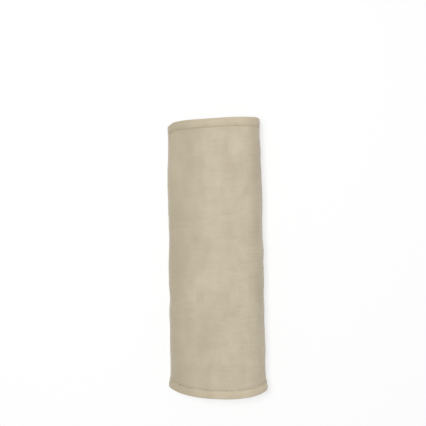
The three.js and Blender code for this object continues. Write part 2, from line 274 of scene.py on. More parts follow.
class Pad:
    """The flat plies and how they are folded up.

    A point of the flat cloth has a place round the section, a place along the pad, and a height over the
    lining's inner face. The section is one line in (X, Z): the under flap, a step down to the left fold, the
    left fold, the front, the right fold and the over flap.
    """

    def __init__(self, sizes, shape):
        self.sizes, self.shape = sizes, shape
        s = sizes
        self.padding_start = s.lining_thickness + s.ply_gap
        self.padding_end = self.padding_start + s.flap_padding_thickness
        self.cover_start = self.padding_end + s.ply_gap
        self.cover_end = self.cover_start + s.cover_thickness
        self.band_rise = s.band_gap + s.band_thickness
        self.half_length = s.length / 2
        self.hem_start = self.half_length - s.hem_depth
        self.squeeze_end = self.hem_start - 2 * s.thread - s.thread_lift
        self.over_z = self.band_rise + self.cover_end
        closure = 2 * s.tape_thickness + 3 * s.tape_gap
        self.floor_z = self.over_z + closure + self.cover_end
        self.roof_z = self.floor_z + s.channel_height
        self.right_radius = (self.roof_z - self.over_z) / 2
        self.foam_reach = s.width / 2 + s.foam_wrap
        self.right_x = self.fold_centre(self.right_radius)
        self.left_x = -self.fold_centre(s.left_fold_radius)
        self.step_x = self.left_x + s.step_run
        self.over_edge_x = self.step_x + s.over_flap_clearance
        self.under_edge_x = self.right_x - s.under_flap_clearance
        self.trace_section()
        self.eased = None
        self.shift = np.zeros(3)
        self.shift = self.find_shift()

    def swelling(self, from_front, along):
        """The foam's extra height: a crown of one less the cube of the distance from the front's middle, to
        the power of 1.5, pressed down near the end seams."""
        s, f = self.sizes, self.shape
        reach = np.minimum(1, np.abs(from_front) / self.foam_reach)
        pressed = f.seam_squeeze * smooth(self.squeeze_end - f.squeeze_run, self.squeeze_end, np.abs(along))
        return (s.foam_thickness - s.flap_padding_thickness) * (1 - reach**3) ** 1.5 * (1 - pressed)

    def fold_centre(self, radius):
        """A fold's centre lies its radius and its plies inside half the width, found step by step."""
        centre = self.sizes.width / 2
        for _ in range(FOLD_ROUNDS):
            lift = self.swelling(centre + radius * np.pi / 2, 0)
            centre = self.sizes.width / 2 - radius - self.cover_end - lift
        return float(centre)

    def turn(self, x, radius, start, end):
        """Points of an arc under the channel's roof, between two angles in degrees."""
        turned = np.radians(np.linspace(start, end, ARC_STEPS))
        return np.stack([x + radius * np.cos(turned), self.roof_z - radius + radius * np.sin(turned)], 1)

    def trace_section(self):
        """Joins the stretches to one line, cut into equal steps, with its direction. The climb from the fold
        is a cubic Bezier curve over four corners."""
        step_low = self.roof_z - 2 * self.sizes.left_fold_radius
        middle = (self.step_x + self.left_x) / 2
        corners = [
            (self.step_x, self.floor_z),
            (middle, self.floor_z),
            (middle, step_low),
            (self.left_x, step_low),
        ]
        t = np.linspace(0, 1, ARC_STEPS)[:, None]
        powers = [(1 - t) ** 3, 3 * t * (1 - t) ** 2, 3 * t**2 * (1 - t), t**3]
        climb = sum(power * np.array(corner) for power, corner in zip(powers, corners))
        stretches = [
            np.array([(self.under_edge_x, self.floor_z)]),
            climb,
            self.turn(self.left_x, self.sizes.left_fold_radius, 270, 90)[1:],
            self.turn(self.right_x, self.right_radius, 90, -90),
            np.array([(self.over_edge_x, self.over_z)]),
        ]
        points = np.concatenate(stretches)
        reached = np.concatenate([[0], np.cumsum(np.linalg.norm(np.diff(points, axis=0), axis=1))])
        self.section_end = float(reached[-1])
        count = round(self.section_end / SECTION_STEP)
        self.line_at = np.linspace(0, self.section_end, count)
        self.line_x = np.interp(self.line_at, reached, points[:, 0])
        self.line_z = np.interp(self.line_at, reached, points[:, 1])
        slope = np.arctan2(np.gradient(self.line_z), np.gradient(self.line_x))
        self.line_angle = np.unwrap(slope)
        left_fold_end = len(stretches[0]) + len(stretches[1]) + len(stretches[2]) - 1
        self.front_centre = float(reached[left_fold_end]) - self.left_x

    def find_shift(self):
        """How far the folded pad moves so that its cover lies where the frame's does."""
        round_at = np.linspace(0, self.section_end, SHIFT_GRID[0])[:, None]
        along = np.linspace(-self.half_length, self.half_length, SHIFT_GRID[1])[None, :]
        cover = self.place(round_at, along, self.cover_end, plain=True).reshape(-1, 3)
        low, high = (np.array(corner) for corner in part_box("cover"))
        return (low + high - cover.min(0) - cover.max(0)) / 2

    def ease(self, round_at, along):
        """How far the simulated cloth moved there: a cubic B-spline over the simulation's own grid."""
        rows, columns = self.eased.shape[:2]
        u = np.clip(round_at / self.section_end, 0, 1) * (columns - 1)
        v = np.clip(along / self.sizes.length + 0.5, 0, 1) * (rows - 1)
        u, v = np.broadcast_arrays(u, v)
        column, row = np.floor(u).astype(int), np.floor(v).astype(int)
        moved = np.zeros((*u.shape, 3))
        for i, weight_v in enumerate(spline_weights(v - row)):
            for j, weight_u in enumerate(spline_weights(u - column)):
                at_row = np.clip(row + i - 1, 0, rows - 1)
                at_column = np.clip(column + j - 1, 0, columns - 1)
                moved += (weight_v * weight_u)[..., None] * self.eased[at_row, at_column]
        return moved

    def softness(self, round_at, along):
        """Extra height of the outer face: soft waves, less the hollow beside each fold of the front, less the
        dip that the end seams press into the front, and less the tuck under the hems round the folds."""
        f = self.shape
        half_width = self.sizes.width / 2
        from_front = np.abs(round_at - self.front_centre)
        hollow_at = half_width - f.groove_inset
        hollow = np.exp(-(((from_front - hollow_at) / f.groove_width) ** 2))
        calm = 1 - smooth(self.hem_start - CALM_RUN, self.hem_start, np.abs(along))
        ripple = waves(round_at, along, RIPPLE_WAVES, RIPPLE_SHORTEST, RIPPLE_LONGEST, f.seed)
        past_front = smooth(half_width - f.corner_size, half_width, from_front)
        on_fold = past_front * (1 - smooth(half_width, self.foam_reach, from_front))
        dip = (1 - past_front) * smooth(self.hem_start - f.pinch_run, self.hem_start, np.abs(along))
        half_run = f.pinch_run / 2
        tuck = on_fold * smooth(self.hem_start - half_run, self.hem_start + half_run, np.abs(along))
        pressed = f.groove * hollow * calm + f.hem_pinch * dip + f.hem_tuck * tuck
        return f.ripple * ripple * (RIPPLE_AT_HEMS + (1 - RIPPLE_AT_HEMS) * calm) - pressed

    def place(self, round_at, along, height, plain=False):
        """Folds points of the flat cloth. Each goes along the section's normal by its height and the foam's
        swelling, both ends bow out and lean, and plain leaves out what only the soft cloth does."""
        s, f = self.sizes, self.shape
        round_at, along, height = np.broadcast_arrays(round_at, along, height)
        at = np.clip(round_at, 0, self.section_end)
        past = round_at - at
        line = (self.line_x, self.line_z, self.line_angle)
        x, z, slope = (np.interp(at, self.line_at, values) for values in line)
        padded = np.clip((height - self.padding_start) / s.flap_padding_thickness, 0, 1)
        from_front = round_at - self.front_centre
        out = height + padded * self.swelling(from_front, along)
        if not plain:
            out = out + padded * self.softness(round_at, along)
        x = x + past * np.cos(slope) - out * np.sin(slope)
        z = z + past * np.sin(slope) + out * np.cos(slope)
        flare = f.bottom_flare * np.maximum(0, (f.flare_run - self.half_length - along) / f.flare_run) ** 2
        x = x * (1 - f.taper * along / self.half_length + flare)
        bulge = np.where(along > 0, f.top_bulge, f.bottom_bulge)
        square = np.where(along > 0, f.top_square, f.bottom_square)
        crown = np.maximum(0, 1 - np.abs(2 * from_front / s.width) ** square)
        near_end = smooth(self.hem_start - f.end_run, self.hem_start, np.abs(along))
        y = along + np.sign(along) * near_end * (bulge * crown + f.end_lean * x)
        if not plain:
            sway = f.waist * np.cos(2 * np.pi * (along - f.waist_crest) / f.waist_wave)
            x = x + sway * np.clip(2 * x / s.width, -1, 1) * (1 - near_end)
            corner_start = s.width / 2 - f.corner_size
            left, right = (smooth(corner_start, s.width / 2, side * x) for side in (-1, 1))
            at_top = f.right_lift * right - f.left_drop * left
            pulled = np.where(along > 0, at_top, f.bottom_lift * (left + right))
            y = y + pulled * smooth(self.hem_start - f.corner_size, self.half_length, np.abs(along))
        placed = np.stack([x, y, z], -1) + self.shift
        if not plain and self.eased is not None:
            placed = placed + padded[..., None] * self.ease(round_at, along)
        if not plain:
            placed[..., 2] = np.maximum(placed[..., 2], 0)
        return placed


def grid_quads(rows, columns):
    """Corner numbers of the cells of a grid with that many rows and columns of points."""
    first = (np.arange(rows - 1)[:, None] * columns + np.arange(columns - 1)).ravel()
    return np.stack([first, first + 1, first + columns + 1, first + columns], 1)


def border(rows, columns):
    """Numbers of a grid's outermost points, once round in the same turn as its cells."""
    numbers = np.arange(rows * columns).reshape(rows, columns)
    return np.concatenate([numbers[0, :-1], numbers[:-1, -1], numbers[-1, :0:-1], numbers[:0:-1, 0]])


def make_mesh(name, points, faces, flat):
    """A mesh of points (n, 3) and of arrays of faces, each (m, corners). flat holds the place of each face
    corner in the flat cloth. Faces are turned so that the closed mesh has a positive volume. Six times that
    volume is the sum over all triangles of one corner times the cross product of the other two."""
    points = np.ascontiguousarray(points, dtype=np.float64)
    a, b, c = (np.concatenate([points[f[:, i]] for f in faces]) for i in (0, 1, 2))
    volume = (a * np.cross(b, c)).sum()
    for f in faces:
        if f.shape[1] == 4:
            volume += (points[f[:, 0]] * np.cross(points[f[:, 2]], points[f[:, 3]])).sum()
    if volume < 0:
        faces = [f[:, ::-1] for f in faces]
        flat = [f[:, ::-1] for f in flat]
    corners = np.concatenate([f.ravel() for f in faces]).astype(np.int32)
    counts = np.concatenate([np.full(len(f), f.shape[1]) for f in faces])
    starts = np.concatenate([[0], np.cumsum(counts)[:-1]]).astype(np.int32)
    mesh = bpy.data.meshes.new(name)
    mesh.vertices.add(len(points))
    mesh.vertices.foreach_set("co", points.astype(np.float32).ravel())
    mesh.loops.add(len(corners))
    mesh.loops.foreach_set("vertex_index", corners)
    mesh.polygons.add(len(counts))
    mesh.polygons.foreach_set("loop_start", starts)
    mesh.polygons.foreach_set("use_smooth", np.ones(len(counts), bool))
    places = np.concatenate([f.reshape(-1, 2) for f in flat]).astype(np.float32)
    mesh.uv_layers.new(name=CLOTH_MAP).data.foreach_set("uv", places.ravel())
    mesh.update(calc_edges=True)
    mesh.validate()
    return mesh


def two_faced(name, outer, inner, flat, ratio):
    """A closed sheet from a fine outer grid and an inner grid that is coarser by an even ratio. Along the
    rim, each inner point takes the outer edges nearest to it as a fan, and each inner edge one triangle."""
    fine, coarse = outer.shape[:2], inner.shape[:2]
    first_inner = fine[0] * fine[1]
    outer_faces = grid_quads(*fine)
    inner_faces = grid_quads(*coarse)[:, ::-1] + first_inner
    rim_out, rim_in = border(*fine), border(*coarse) + first_inner
    edge = np.arange(len(rim_out))
    nearest = rim_in[((edge + ratio // 2) // ratio) % len(rim_in)]
    fans = np.stack([rim_out[(edge + 1) % len(rim_out)], rim_out[edge], nearest], 1)
    inner_edge = np.arange(len(rim_in))
    meeting = rim_out[inner_edge * ratio + ratio // 2]
    bridges = np.stack([meeting, rim_in[inner_edge], rim_in[(inner_edge + 1) % len(rim_in)]], 1)
    flat_points = np.concatenate([flat.reshape(-1, 2), flat[::ratio, ::ratio].reshape(-1, 2)])
    faces = [outer_faces, inner_faces, fans, bridges]
    points = np.concatenate([outer.reshape(-1, 3), inner.reshape(-1, 3)])
    return make_mesh(name, points, faces, [flat_points[f] for f in faces])


def lofted(name, rings, flat):
    """A closed mesh from rings of points (rows, around, 3). Its ends are closed by quads between the first
    and the second half of a ring, whose points pair up from both ends. flat has one more point around."""
    rows, around = rings.shape[:2]
    numbers = np.arange(rows * around).reshape(rows, around)
    row, place = (a.ravel() for a in np.meshgrid(np.arange(rows - 1), np.arange(around), indexing="ij"))
    after = (place + 1) % around
    walls = np.stack(
        [numbers[row, place], numbers[row, after], numbers[row + 1, after], numbers[row + 1, place]], 1
    )
    wall_flat = np.stack(
        [flat[row, place], flat[row, place + 1], flat[row + 1, place + 1], flat[row + 1, place]], 1
    )
    half = np.arange(around // 2 - 1)
    lid = np.stack([half, around - 1 - half, around - 2 - half, half + 1], 1)
    lids = [numbers[0][lid], numbers[-1][lid][:, ::-1]]
    lid_flat = [flat[0][lid], flat[-1][lid][:, ::-1]]
    return make_mesh(name, rings.reshape(-1, 3), [walls, *lids], [wall_flat, *lid_flat])


def many(name, rings, flat):
    """Many small closed tubes in one mesh, from rings (pieces, rows, around, 3). The two end rings of each
    are closed by one face each. flat is (pieces, rows, around + 1, 2)."""
    pieces, rows, around = rings.shape[:3]
    numbers = np.arange(pieces * rows * around).reshape(pieces, rows, around)
    after = np.roll(numbers, -1, axis=2)
    walls = np.stack([numbers[:, :-1], after[:, :-1], after[:, 1:], numbers[:, 1:]], -1).reshape(-1, 4)
    corner = [flat[:, :-1, :-1], flat[:, :-1, 1:], flat[:, 1:, 1:], flat[:, 1:, :-1]]
    wall_flat = np.stack(corner, -2).reshape(-1, 4, 2)
    ends = [numbers[:, 0, ::-1], numbers[:, -1]]
    end_flat = [flat[:, 0, -2::-1], flat[:, -1, :-1]]
    return make_mesh(name, rings.reshape(-1, 3), [walls, *ends], [wall_flat, *end_flat])


def add_piece(mesh, material, slot, *nodes):
    """Shows a mesh as a piece of the pad, which stands for the frame's nodes that are named."""
    piece = bpy.data.objects.new(mesh.name, mesh)
    bpy.context.scene.collection.objects.link(piece)
    mesh.materials.append(material)
    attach(piece, BODY)
    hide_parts(*nodes)
    return piece


def node(tree, kind, inputs=None, **settings):
    """Adds a node. An input is a value, or the socket that it comes from."""
    made = tree.nodes.new(kind)
    for name, value in settings.items():
        setattr(made, name, value)
    for name, value in (inputs or {}).items():
        if isinstance(value, bpy.types.NodeSocket):
            tree.links.new(value, made.inputs[name])
        else:
            made.inputs[name].default_value = value
    return made


def maths(tree, operation, *values, clamp=False):
    """Adds a Math node and returns its result."""
    made = node(tree, "ShaderNodeMath", dict(enumerate(values)), operation=operation, use_clamp=clamp)
    return made.outputs[0]


def noise(tree, vector, scale, detail=3.0, roughness=0.55, distortion=0.0):
    """A noise texture's value, which swings round a half."""
    inputs = {"Vector": vector, "Scale": scale, "Detail": detail}
    inputs |= {"Roughness": roughness, "Distortion": distortion}
    return node(tree, "ShaderNodeTexNoise", inputs).outputs["Fac"]


def stretched(tree, vector, scale, turn=0.0):
    """A place in a pattern, turned about Z and stretched."""
    inputs = {"Vector": vector, "Rotation": (0, 0, turn), "Scale": scale}
    return node(tree, "ShaderNodeMapping", inputs).outputs[0]


def fading(tree, value, start, end):
    """1 where the value is at start, 0 where it is at end, and smooth between them."""
    inputs = {"Value": value, 1: start, 2: end, 3: 1.0, 4: 0.0}
    return node(tree, "ShaderNodeMapRange", inputs, interpolation_type="SMOOTHSTEP").outputs[0]


def apart(tree, a, b):
    """How far two values are apart."""
    return maths(tree, "ABSOLUTE", maths(tree, "SUBTRACT", a, b))


def swing(tree, value, amount):
    """A noise's value less a half, times an amount."""
    return maths(tree, "MULTIPLY", maths(tree, "SUBTRACT", value, 0.5), amount)


def by_axis(tree, vector):
    """The parts of a place along each axis."""
    return node(tree, "ShaderNodeSeparateXYZ", {"Vector": vector}).outputs


def mixed(tree, share_of_b, a, b):
    """Mixes two colours."""
    made = node(tree, "ShaderNodeMix", data_type="RGBA")
    for socket, value in ((made.inputs[0], share_of_b), (made.inputs[6], a), (made.inputs[7], b)):
        if isinstance(value, bpy.types.NodeSocket):
            tree.links.new(value, socket)
        else:
            socket.default_value = value
    return made.outputs[2]


def new_group(name, colours, values=()):
    """A shader node group with its input and output nodes. Its inputs are a place in the pattern, colours
    and values, and its outputs those of every finish."""
    tree = bpy.data.node_groups.new(name, "ShaderNodeTree")
    kinds = {"vector": "NodeSocketVector", "colour": "NodeSocketColor", "value": "NodeSocketFloat"}
    inputs = {"Vector": "vector"} | dict.fromkeys(colours, "colour") | dict.fromkeys(values, "value")
    for direction, sockets in (("INPUT", inputs), ("OUTPUT", FINISH_OUTPUTS)):
        for socket, kind in sockets.items():
            tree.interface.new_socket(socket, in_out=direction, socket_type=kinds[kind])
    given = tree.nodes.new("NodeGroupInput").outputs
    return tree, given, tree.nodes.new("NodeGroupOutput")


def give(tree, result, *sockets):
    """Links a colour, a roughness and a height to a group's outputs, and returns the group."""
    for name, socket in zip(FINISH_OUTPUTS, sockets):
        tree.links.new(socket, result.inputs[name])
    return tree


# The pile's patterns, from the largest to the finest: cells per metre, stretch, weight and finish
PATCH_SCALE = 30
NAP_SCALE = 120
STREAK_SCALE = 450
TUFT_SCALE = 1300
FIBRE_SCALE = 2200
NAP_STRETCH = (1, 0.52, 1)
STREAK_STRETCH = (0.13, 1, 1)
FIBRE_STRETCH = (1, 0.4, 1)
FIBRE_TURN = 0.35
NAP_WEIGHT = 0.66
TUFT_SHADE = 0.2
FIBRE_SHADE = 1.4
SHADE_OFFSET = -0.38
TUFT_RELIEF = 0.35
PILE_ROUGHNESS = 0.86
NAP_ROUGHNESS = 0.12
# How far the edge of the painted shade on one side wanders
SHADE_EDGE_WANDER = 0.03


def pile_group():
    """Short pile: soft patches where the nap lies another way, faint streaks across, tufts and fibres, with
    painted shade where the pile is low. Painted shade darkens one side of the cloth, where less light falls,
    and a band of painted shade lies in the hollow at the same distance either side of the cloth's middle."""
    colours = ("Tips", "Deep", "Painted Shade", "Crease Shade")
    values = ("Patches", "Streaks", "Shade From", "Shade To", "Painted Shading")
    values += ("Middle", "Crease", "Crease Width", "Crease Shading")
    tree, given, result = new_group("Short Pile", colours, values)
    vector = given["Vector"]
    lengthwise = stretched(tree, vector, NAP_STRETCH)
    patches = noise(tree, lengthwise, PATCH_SCALE, 2.0)
    nap = noise(tree, lengthwise, NAP_SCALE, 3.0, 0.55, 0.3)
    streaks = noise(tree, stretched(tree, vector, STREAK_STRETCH), STREAK_SCALE, 2.0, 0.5)
    fibres = noise(tree, stretched(tree, vector, FIBRE_STRETCH, FIBRE_TURN), FIBRE_SCALE, 3.0, 0.65, 0.6)
    cells = node(tree, "ShaderNodeTexVoronoi", {"Vector": vector, "Scale": TUFT_SCALE}, feature="F1")
    tufts = maths(tree, "SUBTRACT", 1.0, cells.outputs["Distance"], clamp=True)
    both = maths(tree, "MULTIPLY_ADD", nap, NAP_WEIGHT, patches)
    lying_over = maths(tree, "SUBTRACT", both, (1 + NAP_WEIGHT) / 2)
    large = maths(tree, "MULTIPLY", lying_over, given["Patches"])
    across = swing(tree, streaks, given["Streaks"])
    # Low fibres and the gaps between tufts take the deep colour: painted shade
    small = maths(tree, "MULTIPLY_ADD", fibres, FIBRE_SHADE, SHADE_OFFSET)
    small = maths(tree, "MULTIPLY_ADD", tufts, TUFT_SHADE, small)
    shade = maths(tree, "ADD", small, maths(tree, "ADD", large, across), clamp=True)
    height = maths(tree, "MULTIPLY_ADD", tufts, TUFT_RELIEF, fibres)
    roughness = maths(tree, "MULTIPLY_ADD", nap, NAP_ROUGHNESS, PILE_ROUGHNESS)
    # Painted shade: darker towards one side of the cloth, where less light falls
    across_cloth = by_axis(tree, vector)["X"]
    uneven = maths(tree, "ADD", swing(tree, patches, SHADE_EDGE_WANDER), across_cloth)
    left_shade_mask = fading(tree, uneven, given["Shade From"], given["Shade To"])
    # Painted shade: a darker band in the hollow beside each fold
    from_crease = apart(tree, apart(tree, across_cloth, given["Middle"]), given["Crease"])
    crease_shade_mask = fading(tree, from_crease, 0.0, given["Crease Width"])
    pile = mixed(tree, shade, given["Deep"], given["Tips"])
    # Mixes in the painted shade on one side, then the painted shade in the crease
    left_shaded_pile = mixed(tree, maths(tree, "MULTIPLY", left_shade_mask, given["Painted Shading"]), pile, given["Painted Shade"])
    seen = mixed(tree, maths(tree, "MULTIPLY", crease_shade_mask, given["Crease Shading"]), left_shaded_pile, given["Crease Shade"])
    return give(tree, result, seen, roughness, height)


SLUB_SCALE = 260
THREAD_SHADE = 0.6
THREAD_SHADE_LOW = 0.25
WEAVE_ROUGHNESS = 0.9
WEAVE_SHINE = -0.12


def weave_group():
    """Plain weave: the warp shows as ridges along V where the sines of both directions agree in sign, the
    weft along U elsewhere, and the hollows between the threads are darker with painted shade."""
    tree, given, result = new_group("Plain Weave", ("Threads", "Deep"), ("Pitch", "Wear"))
    place = by_axis(tree, given["Vector"])
    threads = [maths(tree, "DIVIDE", place[axis], given["Pitch"]) for axis in "XY"]
    sines = [maths(tree, "SINE", maths(tree, "MULTIPLY", thread, math.pi)) for thread in threads]
    over = maths(tree, "GREATER_THAN", maths(tree, "MULTIPLY", *sines), 0.0)
    warp, weft = (maths(tree, "ABSOLUTE", sine) for sine in sines)
    under = maths(tree, "SUBTRACT", 1.0, over)
    height = maths(tree, "ADD", maths(tree, "MULTIPLY", over, warp), maths(tree, "MULTIPLY", under, weft))
    uneven = swing(tree, noise(tree, given["Vector"], SLUB_SCALE, 3.0, 0.6), given["Wear"])
    # The hollows take the deep colour: painted shade, with random wear
    shade = maths(tree, "MULTIPLY_ADD", height, THREAD_SHADE, THREAD_SHADE_LOW)
    shade = maths(tree, "ADD", shade, uneven, clamp=True)
    roughness = maths(tree, "MULTIPLY_ADD", height, WEAVE_SHINE, WEAVE_ROUGHNESS)
    return give(tree, result, mixed(tree, shade, given["Deep"], given["Threads"]), roughness, height)


TWIST_ROUGHNESS = 0.75
TWIST_SHINE = -0.15


def twist_group():
    """Twisted thread: U runs once round the thread, and V is the length along it in metres. The strands wind
    round, so the ridges are the sine of V over the pitch plus U. Between them is painted shade."""
    tree, given, result = new_group("Twisted Thread", ("Strand", "Deep"), ("Pitch",))
    place = by_axis(tree, given["Vector"])
    wound = maths(tree, "ADD", maths(tree, "DIVIDE", place["Y"], given["Pitch"]), place["X"])
    ridge = maths(tree, "SINE", maths(tree, "MULTIPLY", wound, 2 * math.pi))
    height = maths(tree, "MULTIPLY_ADD", ridge, 0.5, 0.5)
    roughness = maths(tree, "MULTIPLY_ADD", height, TWIST_SHINE, TWIST_ROUGHNESS)
    # The low parts between the strands take the deep colour: painted shade
    return give(tree, result, mixed(tree, height, given["Deep"], given["Strand"]), roughness, height)


CELL_SCALE = 1100
CELL_CONTRAST = 1.3
CLOUD_SCALE = 120
CLOUD_SHADE = 0.5
FOAM_SHINE = -0.05


def foam_group():
    """Open cells: the distance to the nearest cell's middle is low inside a cell and high on its wall. Inside
    a
    cell the colour is darker: painted shade.
    """
    tree, given, result = new_group("Foam Cells", ("Walls", "Deep"))
    vector = given["Vector"]
    cells = node(tree, "ShaderNodeTexVoronoi", {"Vector": vector, "Scale": CELL_SCALE}).outputs["Distance"]
    pores = maths(tree, "MULTIPLY", cells, CELL_CONTRAST, clamp=True)
    cloudy = swing(tree, noise(tree, vector, CLOUD_SCALE), CLOUD_SHADE)
    shade = maths(tree, "ADD", pores, cloudy, clamp=True)
    roughness = maths(tree, "MULTIPLY_ADD", pores, FOAM_SHINE, 1.0)
    # Inside the cells the colour is darker: painted shade
    return give(tree, result, mixed(tree, shade, given["Deep"], given["Walls"]), roughness, pores)


# Where the band of painted shade in the crease lies, inwards from half the width, and which function builds
# each group
CLOTH_SPECULAR = 0.15
CREASE_INSET = 0.0085
FINISH_GROUPS = {
    "Short Pile": pile_group,
    "Plain Weave": weave_group,
    "Twisted Thread": twist_group,
    "Foam Cells": foam_group,
}


def finishes(pad, c):
    """What each material takes from the colours in the panel: its node group and the group's values, the
    height of its relief in metres, and the weight and the roughness of its sheen."""
    middle = pad.front_centre
    # Painted shade over the left of the front, where less light falls
    left_shade_values = {
        "Patches": 1.2,
        "Streaks": 0.52,
        "Painted Shade": c.plush_painted_shade,
        "Shade From": middle - 0.05,
        "Shade To": middle + 0.006,
        "Painted Shading": 0.72,
    }
    # Painted shade in the hollow beside each fold of the front
    crease_shade_values = {
        "Crease Shade": c.plush_crease_shade,
        "Middle": middle - 0.001,
        "Crease": pad.sizes.width / 2 - CREASE_INSET,
        "Crease Width": 0.0068,
        "Crease Shading": 0.14,
    }
    pile = left_shade_values | crease_shade_values
    plush = {"Tips": c.plush, "Deep": c.plush_deep, **pile}
    hem_plush = {"Tips": c.hem, "Deep": c.hem_deep, **pile}
    loop_nap = {"Tips": c.tape, "Deep": c.tape_deep, **pile, "Painted Shading": 0.0, "Crease Shading": 0.0}
    lining_weave = {"Threads": c.lining, "Deep": c.lining_deep, "Pitch": 0.0006, "Wear": 0.5}
    tape_weave = {"Threads": c.tape, "Deep": c.tape_deep, "Pitch": 0.0008, "Wear": 0.4}
    nylon = {"Strand": c.tape, "Deep": c.tape_deep, "Pitch": 0.002}
    thread = {"Strand": c.thread, "Deep": c.thread_deep, "Pitch": 0.0011}
    foam = {"Walls": c.foam, "Deep": c.foam_deep}
    return {
        "Plush": ("Short Pile", plush, 0.00032, 0.45, 0.4),
        "Hem Plush": ("Short Pile", hem_plush, 0.00028, 0.4, 0.4),
        "Loop Nap": ("Short Pile", loop_nap, 0.0003, 0.3, 0.4),
        "Lining Weave": ("Plain Weave", lining_weave, 0.00015, 0.15, 0.5),
        "Tape Weave": ("Plain Weave", tape_weave, 0.0002, 0.1, 0.5),
        "Nylon": ("Twisted Thread", nylon, 0.00003, 0.0, 0.5),
        "Thread": ("Twisted Thread", thread, 0.00012, 0.1, 0.5),
        "Foam": ("Foam Cells", foam, 0.0003, 0.0, 0.5),
    }


def finish_named(name):
    """The material of that name, made once. Its colour, roughness and bump come from its node group, whose
    pattern follows the flat cloth, or fills the room inside the foam."""
    made = bpy.data.materials.get(name)
    if made is not None:
        return made
    finish = finishes(the_pad(bpy.context), bpy.context.scene.pad_colours)[name]
    group_name, values, bump, sheen, sheen_roughness = finish
    group = bpy.data.node_groups.get(group_name) or FINISH_GROUPS[group_name]()
    material = bpy.data.materials.new(name)
    material.use_nodes = True
    tree = material.node_tree
    shader = tree.nodes["Principled BSDF"]
    if group_name == "Foam Cells":
        vector = node(tree, "ShaderNodeTexCoord").outputs["Object"]
    else:
        vector = node(tree, "ShaderNodeUVMap", uv_map=CLOTH_MAP).outputs["UV"]
    pattern = node(tree, "ShaderNodeGroup", node_tree=group)
    tree.links.new(vector, pattern.inputs["Vector"])
    for socket, value in values.items():
        pattern.inputs[socket].default_value = (*value, 1) if hasattr(value, "__len__") else value
    height = pattern.outputs["Height"]
    relief = node(tree, "ShaderNodeBump", {"Strength": 1.0, "Distance": bump, "Height": height})
    tree.links.new(pattern.outputs["Color"], shader.inputs["Base Color"])
    tree.links.new(pattern.outputs["Roughness"], shader.inputs["Roughness"])
    tree.links.new(relief.outputs["Normal"], shader.inputs["Normal"])
    shader.inputs["Specular IOR Level"].default_value = CLOTH_SPECULAR
    shader.inputs["Sheen Weight"].default_value = sheen
    shader.inputs["Sheen Roughness"].default_value = sheen_roughness
    return material


THE_PAD = {}


def the_pad(context):
    """The folded cloth, worked out once."""
    if "pad" not in THE_PAD:
        pad = Pad(context.scene.pad_sizes, context.scene.pad_shape)
        pad.eased = simulated(pad)
        THE_PAD["pad"] = pad
    return THE_PAD["pad"]


# The simulated cloth: its cells, how firmly the foam holds it, and the modifier's own settings
CLOTH_CELL = 0.004
CLOTH_FRAMES = 20
FOAM_HOLD = 0.4
LEAST_MOVE = 1e-9
CLOTH_SETTINGS = {
    "quality": 6,
    "mass": 0.2,
    "tension_stiffness": 12,
    "compression_stiffness": 4,
    "shear_stiffness": 3,
    "bending_stiffness": 10,
    "vertex_group_mass": "held",
    "pin_stiffness": 1.0,
    "use_pressure": True,
    "uniform_pressure_force": 12,
    "shrink_min": -0.01,
}


def seam_places(pad):
    """Where rows of stitching run down the flaps, as places round the section: beside both bindings, along
    both edges of the hook tape, and along the loop tape's showing edge."""
    s = pad.sizes
    beside = s.binding_depth + s.thread_lift + s.thread / 2
    tape_left_x = pad.over_edge_x + s.binding_depth + s.tape_margin
    tape_right_x = pad.under_edge_x - s.binding_depth - s.tape_margin
    loop_left_x = pad.over_edge_x - pad.band_rise - s.loop_tape_showing
    hook = [pad.section_end - (x - pad.over_edge_x) for x in (tape_right_x, tape_left_x)]
    loop = [pad.under_edge_x - x for x in (tape_right_x, loop_left_x)]
    return {
        "under_edge": beside,
        "over_edge": pad.section_end - beside,
        "hook": hook,
        "loop": loop,
        "hook_right": hook[0] + s.seam_inset,
        "hook_left": hook[1] - s.seam_inset,
        "loop_left": loop[1] - s.seam_inset,
    }


